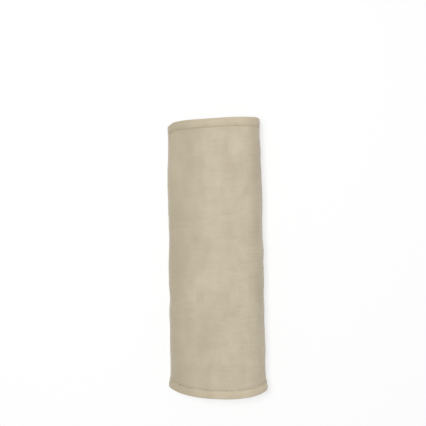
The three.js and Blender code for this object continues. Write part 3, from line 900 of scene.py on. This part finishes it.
def simulated(pad):
    """Lets the cover swell over its padding as cloth. A coarse outer face starts a little small, is held in
    its hems, bindings and rows of stitching, and is blown out from inside with no gravity. Returns how far
    each of its points moved, at most the cap, as (rows, columns, 3)."""
    s, f = pad.sizes, pad.shape
    rows, columns = round(s.length / CLOTH_CELL) + 1, round(pad.section_end / CLOTH_CELL) + 1
    round_at = np.linspace(0, pad.section_end, columns)[None, :]
    along = np.linspace(-pad.half_length, pad.half_length, rows)[:, None]
    seams = seam_places(pad)
    held = np.abs(along) > pad.hem_start - CLOTH_CELL / 2
    held = held | (round_at < seams["under_edge"]) | (round_at > seams["over_edge"])
    for row in ("hook_right", "hook_left", "loop_left"):
        held = held | (np.abs(round_at - seams[row]) < CLOTH_CELL / 2)
    held = np.broadcast_to(held, (rows, columns))
    goal = pad.place(round_at, along, pad.cover_end, plain=True)
    start = pad.place(round_at, along, pad.cover_end - f.cloth_slack * ~held, plain=True)
    mesh = bpy.data.meshes.new("cloth_trial")
    mesh.from_pydata(start.reshape(-1, 3).tolist(), [], grid_quads(rows, columns).tolist())
    cloth = bpy.data.objects.new("cloth_trial", mesh)
    scene = bpy.context.scene
    scene.collection.objects.link(cloth)
    pins = cloth.vertex_groups.new(name="held")
    pins.add(np.arange(rows * columns).tolist(), FOAM_HOLD, "REPLACE")
    pins.add(np.flatnonzero(held.ravel()).tolist(), 1.0, "REPLACE")
    modifier = cloth.modifiers.new("Cloth", "CLOTH")
    for name, value in CLOTH_SETTINGS.items():
        setattr(modifier.settings, name, value)
    modifier.settings.effector_weights.gravity = 0
    modifier.collision_settings.use_collision = False
    for frame_number in range(1, CLOTH_FRAMES + 1):
        scene.frame_set(frame_number)
    shown = cloth.evaluated_get(bpy.context.evaluated_depsgraph_get())
    settled = np.empty(rows * columns * 3, np.float32)
    shown.data.vertices.foreach_get("co", settled)
    bpy.data.objects.remove(cloth)
    bpy.data.meshes.remove(mesh)
    scene.frame_set(1)
    moved = settled.reshape(rows, columns, 3) - goal
    far = np.linalg.norm(moved, axis=-1, keepdims=True)
    return moved * f.cloth_cap * np.tanh(far / f.cloth_cap) / np.maximum(far, LEAST_MOVE)


# The cover's fine grid, the lengths of its tufts, and how far the plies end inside the bands
COVER_ROWS = 320
COVER_COLUMNS = 280
COVER_RATIO = 4
TUFT_SHORTEST = 0.0016
TUFT_LONGEST = 0.006
BAND_SETBACK = 0.0012


class PAD_OT_cover(bpy.types.Operator):
    """Make the plush cover, one sheet folded round the whole pad"""

    bl_idname = "pad.cover"
    bl_label = "Plush Cover"

    def execute(self, context):
        """The outer face is a fine grid over the flat cloth with the relief of the pile, and the inner face
        a coarser one. The sheet ends a little inside the hems and bindings that wrap its edges."""
        pad = the_pad(context)
        half = pad.half_length - BAND_SETBACK
        round_at = np.linspace(BAND_SETBACK, pad.section_end - BAND_SETBACK, COVER_COLUMNS + 1)
        along = np.linspace(-half, half, COVER_ROWS + 1)
        spacing = (along[1] - along[0], round_at[1] - round_at[0])
        shape = (COVER_ROWS + 1, COVER_COLUMNS + 1)
        tufts = banded_noise(shape, spacing, TUFT_SHORTEST, TUFT_LONGEST, pad.shape.seed)
        height = pad.cover_end + pad.shape.pile_relief * tufts
        outer = pad.place(round_at[None, :], along[:, None], height)
        inner_round, inner_along = round_at[::COVER_RATIO], along[::COVER_RATIO]
        inner = pad.place(inner_round[None, :], inner_along[:, None], pad.cover_start)
        flat = np.stack(np.meshgrid(round_at, along), -1)
        mesh = two_faced("plush_cover", outer, inner, flat, COVER_RATIO)
        add_piece(mesh, finish_named("Plush"), "plush", "cover")
        return {"FINISHED"}


# Cells of the plies, and how they are rounded off at the rim, as shares of half their thickness
LINING_CELL = 0.0017
PLY_CELL = 0.002
PLY_RIM = 0.3
PLY_RIM_LOWEST = 0.04


def ply_run(start, end, cell, edge):
    """Places from start to end about one cell apart, with one more near each end for the round rim. Also
    returns the share of the ply's thickness at each place, which a quarter circle brings in at the rim."""
    count = max(4, round((end - start) / cell))
    inset = PLY_RIM * edge
    run = np.sort(np.append(np.linspace(start, end, count + 1), [start + inset, end - inset]))
    from_rim = np.minimum(run - run[0], run[-1] - run)
    return run, rounding(from_rim / edge, PLY_RIM_LOWEST)


def add_ply(pad, name, span, half, low, high, cell, material, slot, *nodes):
    """A thin closed ply of the stack between two places round the section. Its rings run along the pad, each
    one over the lower face and back over the upper one."""
    edge = (high - low) / 2
    across, full_across = ply_run(*span, cell, edge)
    along, full_along = ply_run(-half, half, cell, edge)
    around = np.concatenate([across, across[::-1]])
    side = np.concatenate([-full_across, full_across[::-1]])
    height = (low + high) / 2 + edge * side[None, :] * full_along[:, None]
    rings = pad.place(around[None, :], along[:, None], height)
    flat_around = np.append(around, around[0])
    flat = np.stack(np.broadcast_arrays(flat_around[None, :], along[:, None]), -1)
    return add_piece(lofted(name, rings, flat), finish_named(material), slot, *nodes)


class PAD_OT_lining(bpy.types.Operator):
    """Make the lining on the belt's side"""

    bl_idname = "pad.lining"
    bl_label = "Belt Lining"

    def execute(self, context):
        """A thin ply over the whole section, from the lining's inner face to its thickness."""
        pad = the_pad(context)
        span = (BAND_SETBACK, pad.section_end - BAND_SETBACK)
        half = pad.half_length - BAND_SETBACK
        high = pad.sizes.lining_thickness
        lining = add_ply(
            pad, "belt_lining", span, half, 0, high, LINING_CELL, "Lining Weave", "lining", "lining"
        )
        return {"FINISHED"}


class PAD_OT_padding(bpy.types.Operator):
    """Make the memory foam of the front and the thin foam of both flaps"""

    bl_idname = "pad.padding"
    bl_label = "Foam Padding"

    def execute(self, context):
        """Three plies end to end between the lining and the cover. The front's is as thick as its foam."""
        pad = the_pad(context)
        s = pad.sizes
        half = pad.half_length - s.padding_inset
        foam_from = pad.front_centre - pad.foam_reach
        foam_to = pad.front_centre + pad.foam_reach
        core = (foam_from + s.ply_gap, foam_to - s.ply_gap)
        under_flap = (s.padding_inset, foam_from - s.ply_gap)
        over_flap = (foam_to + s.ply_gap, pad.section_end - s.padding_inset)
        low, high = pad.padding_start, pad.padding_end
        for name, span, fill, cad_node in (
            ("memory_foam", core, 0.65, "foam_core"),
            ("under_flap_foam", under_flap, 0.3, "under_flap_padding"),
            ("over_flap_foam", over_flap, 0.3, "over_flap_padding"),
        ):
            ply = add_ply(pad, name, span, half, low, high, PLY_CELL, "Foam", "foam", cad_node)
        return {"FINISHED"}


# The outline of the hems and bindings
BAND_TURN_POINTS = 15
BAND_FLAT_POINTS = 13
BAND_FLAT_SPREAD = 1.4
BAND_SQUARE = 2.7
BAND_TURN_DEPTH = 0.0032
BAND_THINNED = 0.85
BAND_SOFT_RUN = 0.0028
BAND_FULL_FROM = 0.5
BAND_FULL_UNTIL = 0.4


def band_profile(pad, depth):
    """The outline of a strip folded over an edge, as (reach, height, fullness) going round its outer face
    and back along its inner one. Reach is negative over the cloth and positive past its edge. Each face is
    a flat run, a superellipse round the edge, and a flat run. The strip's stitches press it thin along both
    long edges. Fullness is 0 there and 1 in the middle of each flat run, where the soft cloth stands proud,
    and its sign tells the two faces apart."""
    s = pad.sizes
    turned = np.linspace(np.pi / 2, -np.pi / 2, BAND_TURN_POINTS)
    power = 2 / BAND_SQUARE
    round_reach = np.abs(np.cos(turned)) ** power
    round_height = np.sign(np.sin(turned)) * np.abs(np.sin(turned)) ** power
    middle = pad.cover_end / 2
    run = np.linspace(0, 1, BAND_FLAT_POINTS)[:-1] ** BAND_FLAT_SPREAD
    faces = []
    for rise in (pad.band_rise, s.band_gap):
        half = middle + rise
        turn_depth = min(half, BAND_TURN_DEPTH) - (pad.band_rise - rise)
        flat_run = -depth + run * (depth + rise - turn_depth)
        thinned = (rise - s.band_gap) * BAND_THINNED * (1 - smooth(0, BAND_SOFT_RUN, flat_run + depth))
        reach = np.concatenate([flat_run, rise - turn_depth + turn_depth * round_reach, flat_run[::-1]])
        height = np.concatenate([half - thinned, half * round_height, thinned[::-1] - half])
        faces.append((reach, middle + height))
    (outer_reach, outer_height), (inner_reach, inner_height) = faces
    on_cloth = outer_reach < BAND_FULL_UNTIL * pad.band_rise
    full = smooth(0, BAND_FULL_FROM * depth, outer_reach + depth) * on_cloth
    full = full * np.sign(outer_height - middle)
    reach = np.concatenate([outer_reach, inner_reach[::-1]])
    height = np.concatenate([outer_height, inner_height[::-1]])
    return reach, height, np.concatenate([full, np.zeros(len(inner_reach))])


# The soft form of the hems and bindings along their length
BAND_POINTS = 330
BAND_END_STEPS = (0.00012, 0.0003, 0.0009, 0.0012)
BAND_END_LOWEST = 0.15
BAND_PROUD = 0.00045
BAND_UNEVEN = 0.35
BAND_WAVES = 14
BAND_SHORTEST = 0.006
BAND_LONGEST = 0.03
BAND_SWAY = 0.0002
BAND_SWAY_WITHIN = 0.6
BAND_PUCKER = 0.00016
PUCKER_REACH = 0.004


def add_band(pad, name, path, depth, to_flat, *nodes):
    """A soft strip folded over an edge. path holds places along the edge, and to_flat turns a place along
    the edge and a reach into the place round the section and along the pad. The strip is plump between its
    stitching and its edge, puckered at each stitch, and its ends are round: there its two faces close in by
    the root of one less the square of the distance from the end's full height."""
    s = pad.sizes
    reach, height, full = band_profile(pad, depth)
    at = path[:, None]
    near_seam = 1 - np.clip((reach + depth) / PUCKER_REACH, 0, 1)
    pucker = np.cos(2 * np.pi * at / s.stitch_pitch) * near_seam
    seed = pad.shape.seed + len(name)
    uneven = waves(at, reach[None, :], BAND_WAVES, BAND_SHORTEST, BAND_LONGEST, seed)
    proud = full * (BAND_PROUD * (1 + BAND_UNEVEN * uneven)) + np.sign(full) * BAND_PUCKER * pucker
    sway = BAND_SWAY * uneven * (reach < -BAND_SWAY_WITHIN * depth)
    round_at, along = to_flat(at, reach[None, :] + sway)
    from_end = np.clip(np.minimum(at - path[0], path[-1] - at) / BAND_SETBACK, 0, 1)
    closed_in = rounding(from_end, BAND_END_LOWEST)
    middle = pad.cover_end / 2
    rings = pad.place(round_at, along, middle + (height[None, :] - middle) * closed_in + proud * from_end)
    length = np.concatenate([[0], np.cumsum(np.hypot(np.diff(reach), np.diff(height)))])
    length = np.append(length, length[-1] + s.band_thickness)
    flat = np.stack(np.broadcast_arrays(at, length[None, :]), -1)
    return add_piece(lofted(name, rings, flat), finish_named("Hem Plush"), "hem_band", *nodes)


def round_the_pad(line, side):
    """Where a seam or edge lies that goes round the section. line is its place along the pad, and both it
    and the reach are counted towards the top end on the side 1 and towards the bottom end on the side -1.
    Returns the function that add_band and add_stitches ask for."""

    def to_flat(at, reach):
        """A place along it and a reach become a place round the section and one along the pad."""
        return np.broadcast_arrays(at, side * (line + reach))

    return to_flat


def along_the_pad(line, side):
    """Where a seam or edge lies that runs straight along the pad, at the place line round the section."""

    def to_flat(at, reach):
        """The reach is added to that place on the side 1, and taken off it on the side -1."""
        return np.broadcast_arrays(line + side * reach, at)

    return to_flat


class PAD_OT_hems(bpy.types.Operator):
    """Make the hems over both ends"""

    bl_idname = "pad.hems"
    bl_label = "End Hems"

    def execute(self, context):
        """Each hem follows the whole section, folded over the end of the plies."""
        pad = the_pad(context)
        steps = np.array(BAND_END_STEPS)
        path = np.linspace(0, pad.section_end, BAND_POINTS)
        path = np.sort(np.concatenate([path, steps, pad.section_end - steps]))
        for side, name, cad_node in ((1, "top_hem_band", "top_hem"), (-1, "bottom_hem_band", "bottom_hem")):
            end = round_the_pad(pad.half_length, side)
            add_band(pad, name, path, pad.sizes.hem_depth, end, cad_node)
        return {"FINISHED"}


class PAD_OT_bindings(bpy.types.Operator):
    """Make the bindings over the flaps' long edges"""

    bl_idname = "pad.bindings"
    bl_label = "Edge Bindings"

    def execute(self, context):
        """Each binding runs straight from hem to hem."""
        pad = the_pad(context)
        end = pad.hem_start - pad.sizes.band_gap
        path = np.linspace(-end, end, BAND_POINTS)
        for side, line, name, cad_node in (
            (1, pad.section_end, "over_flap_binding", "over_flap_edge_binding"),
            (-1, 0, "under_flap_binding", "under_flap_edge_binding"),
        ):
            add_band(pad, name, path, pad.sizes.binding_depth, along_the_pad(line, side), cad_node)
        return {"FINISHED"}


# The tapes' backing as a share of their thickness, and their hooks and loops
BACKING_SHARE = 0.45
HOOK_PITCH = 0.0019
HOOK_JITTER = 0.00008
HOOK_THICKNESS = 0.00022
HOOK_BEND = ((0, 0), (0, 0.55), (0.1, 0.85), (0.35, 1), (0.55, 0.75))
LOOP_PITCH = 0.00118
LOOP_JITTER = 0.0004
LOOP_THICKNESS = 0.0002
LOOP_HALF_WIDTH = 0.0005
LOOP_RISE = 0.95
LOOP_ROOT = 0.00003
LOOP_POINTS = 5
TUBE_SIDES = 3


def scattered(span, half, pitch, jitter, seed):
    """Places of small pieces over a tape, in staggered rows with a little random offset."""
    draw = np.random.default_rng(seed)
    columns = np.arange(span[0] + pitch, span[1] - pitch, pitch)
    rows = np.arange(-half + pitch, half - pitch, pitch)
    u, v = np.meshgrid(columns, rows)
    u = u + (np.arange(len(rows)) % 2)[:, None] * pitch / 2
    u, v = u.ravel(), v.ravel()
    keep = u < span[1] - pitch / 2
    u, v = u[keep], v[keep]
    offset = draw.uniform(-jitter, jitter, (2, len(u)))
    return u + offset[0], v + offset[1], draw.uniform(0, np.pi, len(u))


def small_tubes(pad, u, v, turned, bend, thickness, base, outwards):
    """Many small bent tubes that stand on a tape. bend holds the middle line of one, as (sideways, up) in
    metres, turned gives the way each one faces, and outwards is 1 or -1 for the side on which they stand.
    A circle is carried along the line, square to it, and the whole is turned about the tape's normal."""
    sideways, up = bend.T
    around = np.linspace(0, 2 * np.pi, TUBE_SIDES + 1)[:-1]
    tangent = np.stack([np.gradient(sideways), np.gradient(up)], 1)
    tangent /= np.linalg.norm(tangent, axis=1, keepdims=True)
    across = thickness / 2 * np.cos(around)[None, :]
    within = thickness / 2 * np.sin(around)[None, :]
    line_side = sideways[:, None] - tangent[:, 1:2] * within
    line_up = up[:, None] + tangent[:, 0:1] * within
    cos, sin = np.cos(turned)[:, None, None], np.sin(turned)[:, None, None]
    round_at = u[:, None, None] + line_side * cos - across * sin
    along = v[:, None, None] + line_side * sin + across * cos
    rings = pad.place(round_at, along, base + outwards * line_up[None])
    travelled = np.concatenate([[0], np.cumsum(np.hypot(np.diff(sideways), np.diff(up)))])
    turns = np.linspace(0, 1, TUBE_SIDES + 1)
    length = travelled[None, :, None] + v[:, None, None]
    flat = np.stack(np.broadcast_arrays(turns[None, None, :], length), -1)
    return rings, flat


class PAD_OT_tapes(bpy.types.Operator):
    """Make the hook tape and the loop tape of the closure"""

    bl_idname = "pad.tapes"
    bl_label = "Hook and Loop Tapes"

    def execute(self, context):
        """Each tape is a woven backing with hooks or loops on it. The loop tape lies on the under flap's
        outer face, and the hook tape under the over flap's inner face."""
        pad = the_pad(context)
        s = pad.sizes
        seams = seam_places(pad)
        half = pad.hem_start - s.tape_margin
        backing = BACKING_SHARE * s.tape_thickness
        free = s.tape_thickness - backing
        hook_base = -s.tape_gap - backing
        loop_base = pad.cover_end + s.tape_gap + backing
        for name, span, low, high, material, slot in (
            ("hook_tape_backing", seams["hook"], hook_base, -s.tape_gap, "Tape Weave", "hook_tape"),
            ("loop_tape_backing", seams["loop"], loop_base - backing, loop_base, "Loop Nap", "loop_tape"),
        ):
            add_ply(pad, name, span, half, low, high, PLY_CELL, material, slot, slot)
        seed = pad.shape.seed
        u, v, turned = scattered(seams["hook"], half, HOOK_PITCH, HOOK_JITTER, seed + 1)
        hook_bend = free * np.array(HOOK_BEND)
        rings, flat = small_tubes(pad, u, v, 0 * turned, hook_bend, HOOK_THICKNESS, hook_base, -1)
        hooks = many("hook_tape_hooks", rings, flat)
        add_piece(hooks, finish_named("Nylon"), "hook_tape", "hook_tape")
        arc = np.linspace(0, np.pi, LOOP_POINTS)
        loop_up = LOOP_RISE * free * np.sin(arc) - LOOP_ROOT
        loop_bend = np.stack([-LOOP_HALF_WIDTH * np.cos(arc), loop_up], 1)
        u, v, turned = scattered(seams["loop"], half, LOOP_PITCH, LOOP_JITTER, seed + 2)
        rings, flat = small_tubes(pad, u, v, turned, loop_bend, LOOP_THICKNESS, loop_base, 1)
        loops = many("loop_tape_loops", rings, flat)
        add_piece(loops, finish_named("Nylon"), "loop_tape", "loop_tape")
        return {"FINISHED"}


# The form of one stitch, with its rise and dip as shares of the thread's thickness
STITCH_ROWS = 9
STITCH_SIDES = 8
STITCH_SQUARE = 6
STITCH_END_LOWEST = 0.03
STITCH_RISE = 0.15
STITCH_DIP = 0.75


def stitch_tubes(pad, starts, base, to_flat):
    """One short tube for each stitch. Its middle line is an arch that dips into the cloth at both ends, and
    its radius is that of a capsule: the root of one less the sixth power of the distance from its middle."""
    s = pad.sizes
    t = np.linspace(-1, 1, STITCH_ROWS)
    radius = s.thread / 2 * rounding(1 - np.abs(t), STITCH_END_LOWEST, STITCH_SQUARE)
    arch = s.thread * (STITCH_RISE - STITCH_DIP * t**4)
    around = np.linspace(0, 2 * np.pi, STITCH_SIDES + 1)
    run = starts[:, None, None] + (t * s.stitch / 2)[None, :, None]
    side = (radius[:, None] * np.cos(around))[None]
    height = base + s.thread / 2 + (arch[:, None] + radius[:, None] * np.sin(around))[None]
    round_at, along = to_flat(run, side)
    rings = pad.place(round_at[..., :-1], along[..., :-1], height[..., :-1])
    turns = around / (2 * np.pi)
    flat = np.stack(np.broadcast_arrays(turns[None, None, :], run), -1)
    return rings, flat


def add_stitches(pad, name, span, base, to_flat, cad_node):
    """A row of single stitches between two places along a seam."""
    s = pad.sizes
    starts = np.arange(span[0] + s.stitch / 2, span[1] - s.stitch / 2, s.stitch_pitch)
    rings, flat = stitch_tubes(pad, starts, base, to_flat)
    return add_piece(many(name, rings, flat), finish_named("Thread"), "thread", cad_node)


class PAD_OT_stitching(bpy.types.Operator):
    """Sew the hems, the bindings and both tapes"""

    bl_idname = "pad.stitching"
    bl_label = "Stitching"

    def execute(self, context):
        """Two rows go round the section beside the end hems, and five run straight down the flaps."""
        pad = the_pad(context)
        s = pad.sizes
        seams = seam_places(pad)
        base = pad.cover_end + s.thread_lift
        hem_seam = pad.hem_start - s.thread_lift - s.thread / 2
        span = (seams["under_edge"], seams["over_edge"])
        for side, name, cad_node in (
            (1, "top_hem_stitches", "top_hem_stitching"),
            (-1, "bottom_hem_stitches", "bottom_hem_stitching"),
        ):
            add_stitches(pad, name, span, base, round_the_pad(side * hem_seam, 1), cad_node)
        half = pad.hem_start - s.tape_margin - s.seam_inset
        loop_base = pad.cover_end + s.tape_gap + s.tape_thickness * BACKING_SHARE
        for name, seam, low, cad_node in (
            ("under_flap_edge_stitches", "under_edge", base, "under_flap_edge_stitching"),
            ("over_flap_edge_stitches", "over_edge", base, "over_flap_edge_stitching"),
            ("hook_tape_right_stitches", "hook_right", base, "hook_tape_right_stitching"),
            ("hook_tape_left_stitches", "hook_left", base, "hook_tape_left_stitching"),
            ("loop_tape_stitches", "loop_left", loop_base, "loop_tape_stitching"),
        ):
            add_stitches(pad, name, (-half, half), low, along_the_pad(seams[seam], 1), cad_node)
        return {"FINISHED"}


# The sensor in millimetres, the large lamp, and the white of the floor and the sky
SENSOR_WIDTH = 36
KEY_DIRECTION = (-0.14, 0.13, 1.0)
KEY_DISTANCE = 1.3
KEY_SIZE = 0.7
FLOOR_PAINT = (0.9, 0.9, 0.9, 1)
FLOOR_GLOW = 0.7
WHITE = (1, 1, 1, 1)
SKY_POWER = 4.0


def aimed(towards):
    """The turn that points a lamp's own -Z away from a direction, so that it shines back along it."""
    x = np.cross([0, 1, 0], towards)
    x /= np.linalg.norm(x)
    return Matrix(np.stack([x, np.cross(towards, x), towards], 1).tolist()).to_quaternion()


def seen_directly(tree):
    """1 for rays from the camera, and for those that a mirror or glass passes on, and 0 for light."""
    path = node(tree, "ShaderNodeLightPath").outputs
    mirrored = maths(tree, "MAXIMUM", path["Is Glossy Ray"], path["Is Transmission Ray"])
    return maths(tree, "MAXIMUM", path["Is Camera Ray"], mirrored)


class PAD_OT_stage(bpy.types.Operator):
    """Set up the camera, the floor and the soft light"""

    bl_idname = "pad.stage"
    bl_label = "Stage"

    def execute(self, context):
        """One camera, one large lamp, a white floor and a pale sky."""
        scene = context.scene
        stage = scene.pad_stage
        self.add_camera(scene, stage)
        self.add_lamp(scene, stage)
        self.add_floor(scene, stage)
        self.light_sky(scene, stage)
        scene.view_settings.view_transform = "Standard"
        return {"FINISHED"}

    def add_camera(self, scene, stage):
        """The camera looks at the aim from its distance, turned in from the right and then rolled."""
        turn, roll = stage.turn, stage.roll
        back = np.array([math.sin(turn), 0, math.cos(turn)])
        right = np.array([math.cos(turn), 0, -math.sin(turn)])
        up = np.array([0, 1, 0])
        axis_x = math.cos(roll) * right + math.sin(roll) * up
        axis_y = math.cos(roll) * up - math.sin(roll) * right
        place = np.array(stage.aim) + back * stage.distance
        data = bpy.data.cameras.new("camera")
        data.sensor_width = SENSOR_WIDTH
        data.lens = stage.lens
        camera = bpy.data.objects.new("camera", data)
        scene.collection.objects.link(camera)
        rows = np.stack([axis_x, axis_y, back, place], 1).tolist()
        camera.matrix_world = Matrix([*rows, [0, 0, 0, 1]])
        scene.camera = camera

    def add_lamp(self, scene, stage):
        """A large round lamp, a fixed distance from the aim."""
        data = bpy.data.lights.new("key", "AREA")
        data.shape = "DISK"
        data.size = KEY_SIZE
        data.energy = stage.key_power
        lamp = bpy.data.objects.new("key", data)
        scene.collection.objects.link(lamp)
        towards = np.array(KEY_DIRECTION) / np.linalg.norm(KEY_DIRECTION)
        lamp.location = np.array(stage.aim) + towards * KEY_DISTANCE
        lamp.rotation_mode = "QUATERNION"
        lamp.rotation_quaternion = aimed(towards)

    def add_floor(self, scene, stage):
        """A white floor. The camera sees part of its white without the lamps, so that it stays white, and
        part as lit, so that the pad's shadow shows."""
        half = stage.floor_size / 2
        corners = [(-half, -half, 0), (half, -half, 0), (half, half, 0), (-half, half, 0)]
        mesh = bpy.data.meshes.new("floor")
        mesh.from_pydata(corners, [], [(0, 1, 2, 3)])
        floor = bpy.data.objects.new("floor", mesh)
        scene.collection.objects.link(floor)
        material = bpy.data.materials.new("Floor")
        material.use_nodes = True
        tree = material.node_tree
        tree.nodes.clear()
        part = maths(tree, "MULTIPLY", seen_directly(tree), FLOOR_GLOW)
        paint = node(tree, "ShaderNodeBsdfDiffuse", {"Color": FLOOR_PAINT}).outputs[0]
        glow = node(tree, "ShaderNodeEmission", {"Color": WHITE, "Strength": 1.0}).outputs[0]
        blend = node(tree, "ShaderNodeMixShader", {0: part, 1: paint, 2: glow}).outputs[0]
        node(tree, "ShaderNodeOutputMaterial", {"Surface": blend})
        mesh.materials.append(material)

    def light_sky(self, scene, stage):
        """A sky that lights the pad, and that the camera sees as plain white. Its strength grows towards the
        horizon with a power of one less the sine of the height above it."""
        world = bpy.data.worlds.new("sky")
        world.use_nodes = True
        tree = world.node_tree
        tree.nodes.clear()
        direction = node(tree, "ShaderNodeTexCoord").outputs["Generated"]
        rise = maths(tree, "ABSOLUTE", by_axis(tree, direction)["Z"])
        near_horizon = maths(tree, "POWER", maths(tree, "SUBTRACT", 1.0, rise), SKY_POWER)
        light = maths(tree, "MULTIPLY_ADD", near_horizon, stage.sky * stage.horizon, stage.sky)
        strength = maths(tree, "MAXIMUM", light, seen_directly(tree))
        sky = node(tree, "ShaderNodeBackground", {"Color": WHITE, "Strength": strength}).outputs[0]
        node(tree, "ShaderNodeOutputWorld", {"Surface": sky})
        scene.world = world


STEPS = (
    PAD_OT_stage,
    PAD_OT_cover,
    PAD_OT_lining,
    PAD_OT_padding,
    PAD_OT_hems,
    PAD_OT_bindings,
    PAD_OT_tapes,
    PAD_OT_stitching,
)
GROUPS = {
    "pad_sizes": PadSizes,
    "pad_shape": PadShape,
    "pad_colours": PadColours,
    "pad_stage": PadStage,
}


class PAD_PT_panel(bpy.types.Panel):
    """Lists the steps that make the pad"""

    bl_label = "Shoulder Pad"
    bl_idname = "PAD_PT_panel"
    bl_space_type = "VIEW_3D"
    bl_region_type = "UI"
    bl_category = "Shoulder Pad"

    def draw(self, context):
        """One button for each step, then the sizes, the colours and the stage."""
        for operator in STEPS:
            self.layout.operator(operator.bl_idname)
        for name in GROUPS:
            group = getattr(context.scene, name)
            box = self.layout.box()
            for value in group.__annotations__:
                box.prop(group, value)


def register():
    """Adds the classes to Blender, and the groups of sizes and colours to every scene."""
    for made in (*GROUPS.values(), *STEPS, PAD_PT_panel):
        bpy.utils.register_class(made)
    for name, group in GROUPS.items():
        setattr(bpy.types.Scene, name, PointerProperty(type=group))


def unregister():
    """Takes them out again, in the opposite order."""
    for name in GROUPS:
        delattr(bpy.types.Scene, name)
    for made in (PAD_PT_panel, *reversed(STEPS), *GROUPS.values()):
        bpy.utils.unregister_class(made)


def main():
    """Makes the whole pad and its stage."""
    register()
    bpy.ops.pad.stage()
    bpy.ops.pad.cover()
    bpy.ops.pad.lining()
    bpy.ops.pad.padding()
    bpy.ops.pad.hems()
    bpy.ops.pad.bindings()
    bpy.ops.pad.tapes()
    bpy.ops.pad.stitching()
    pad = the_pad(bpy.context)


if __name__ == "__main__":
    main()
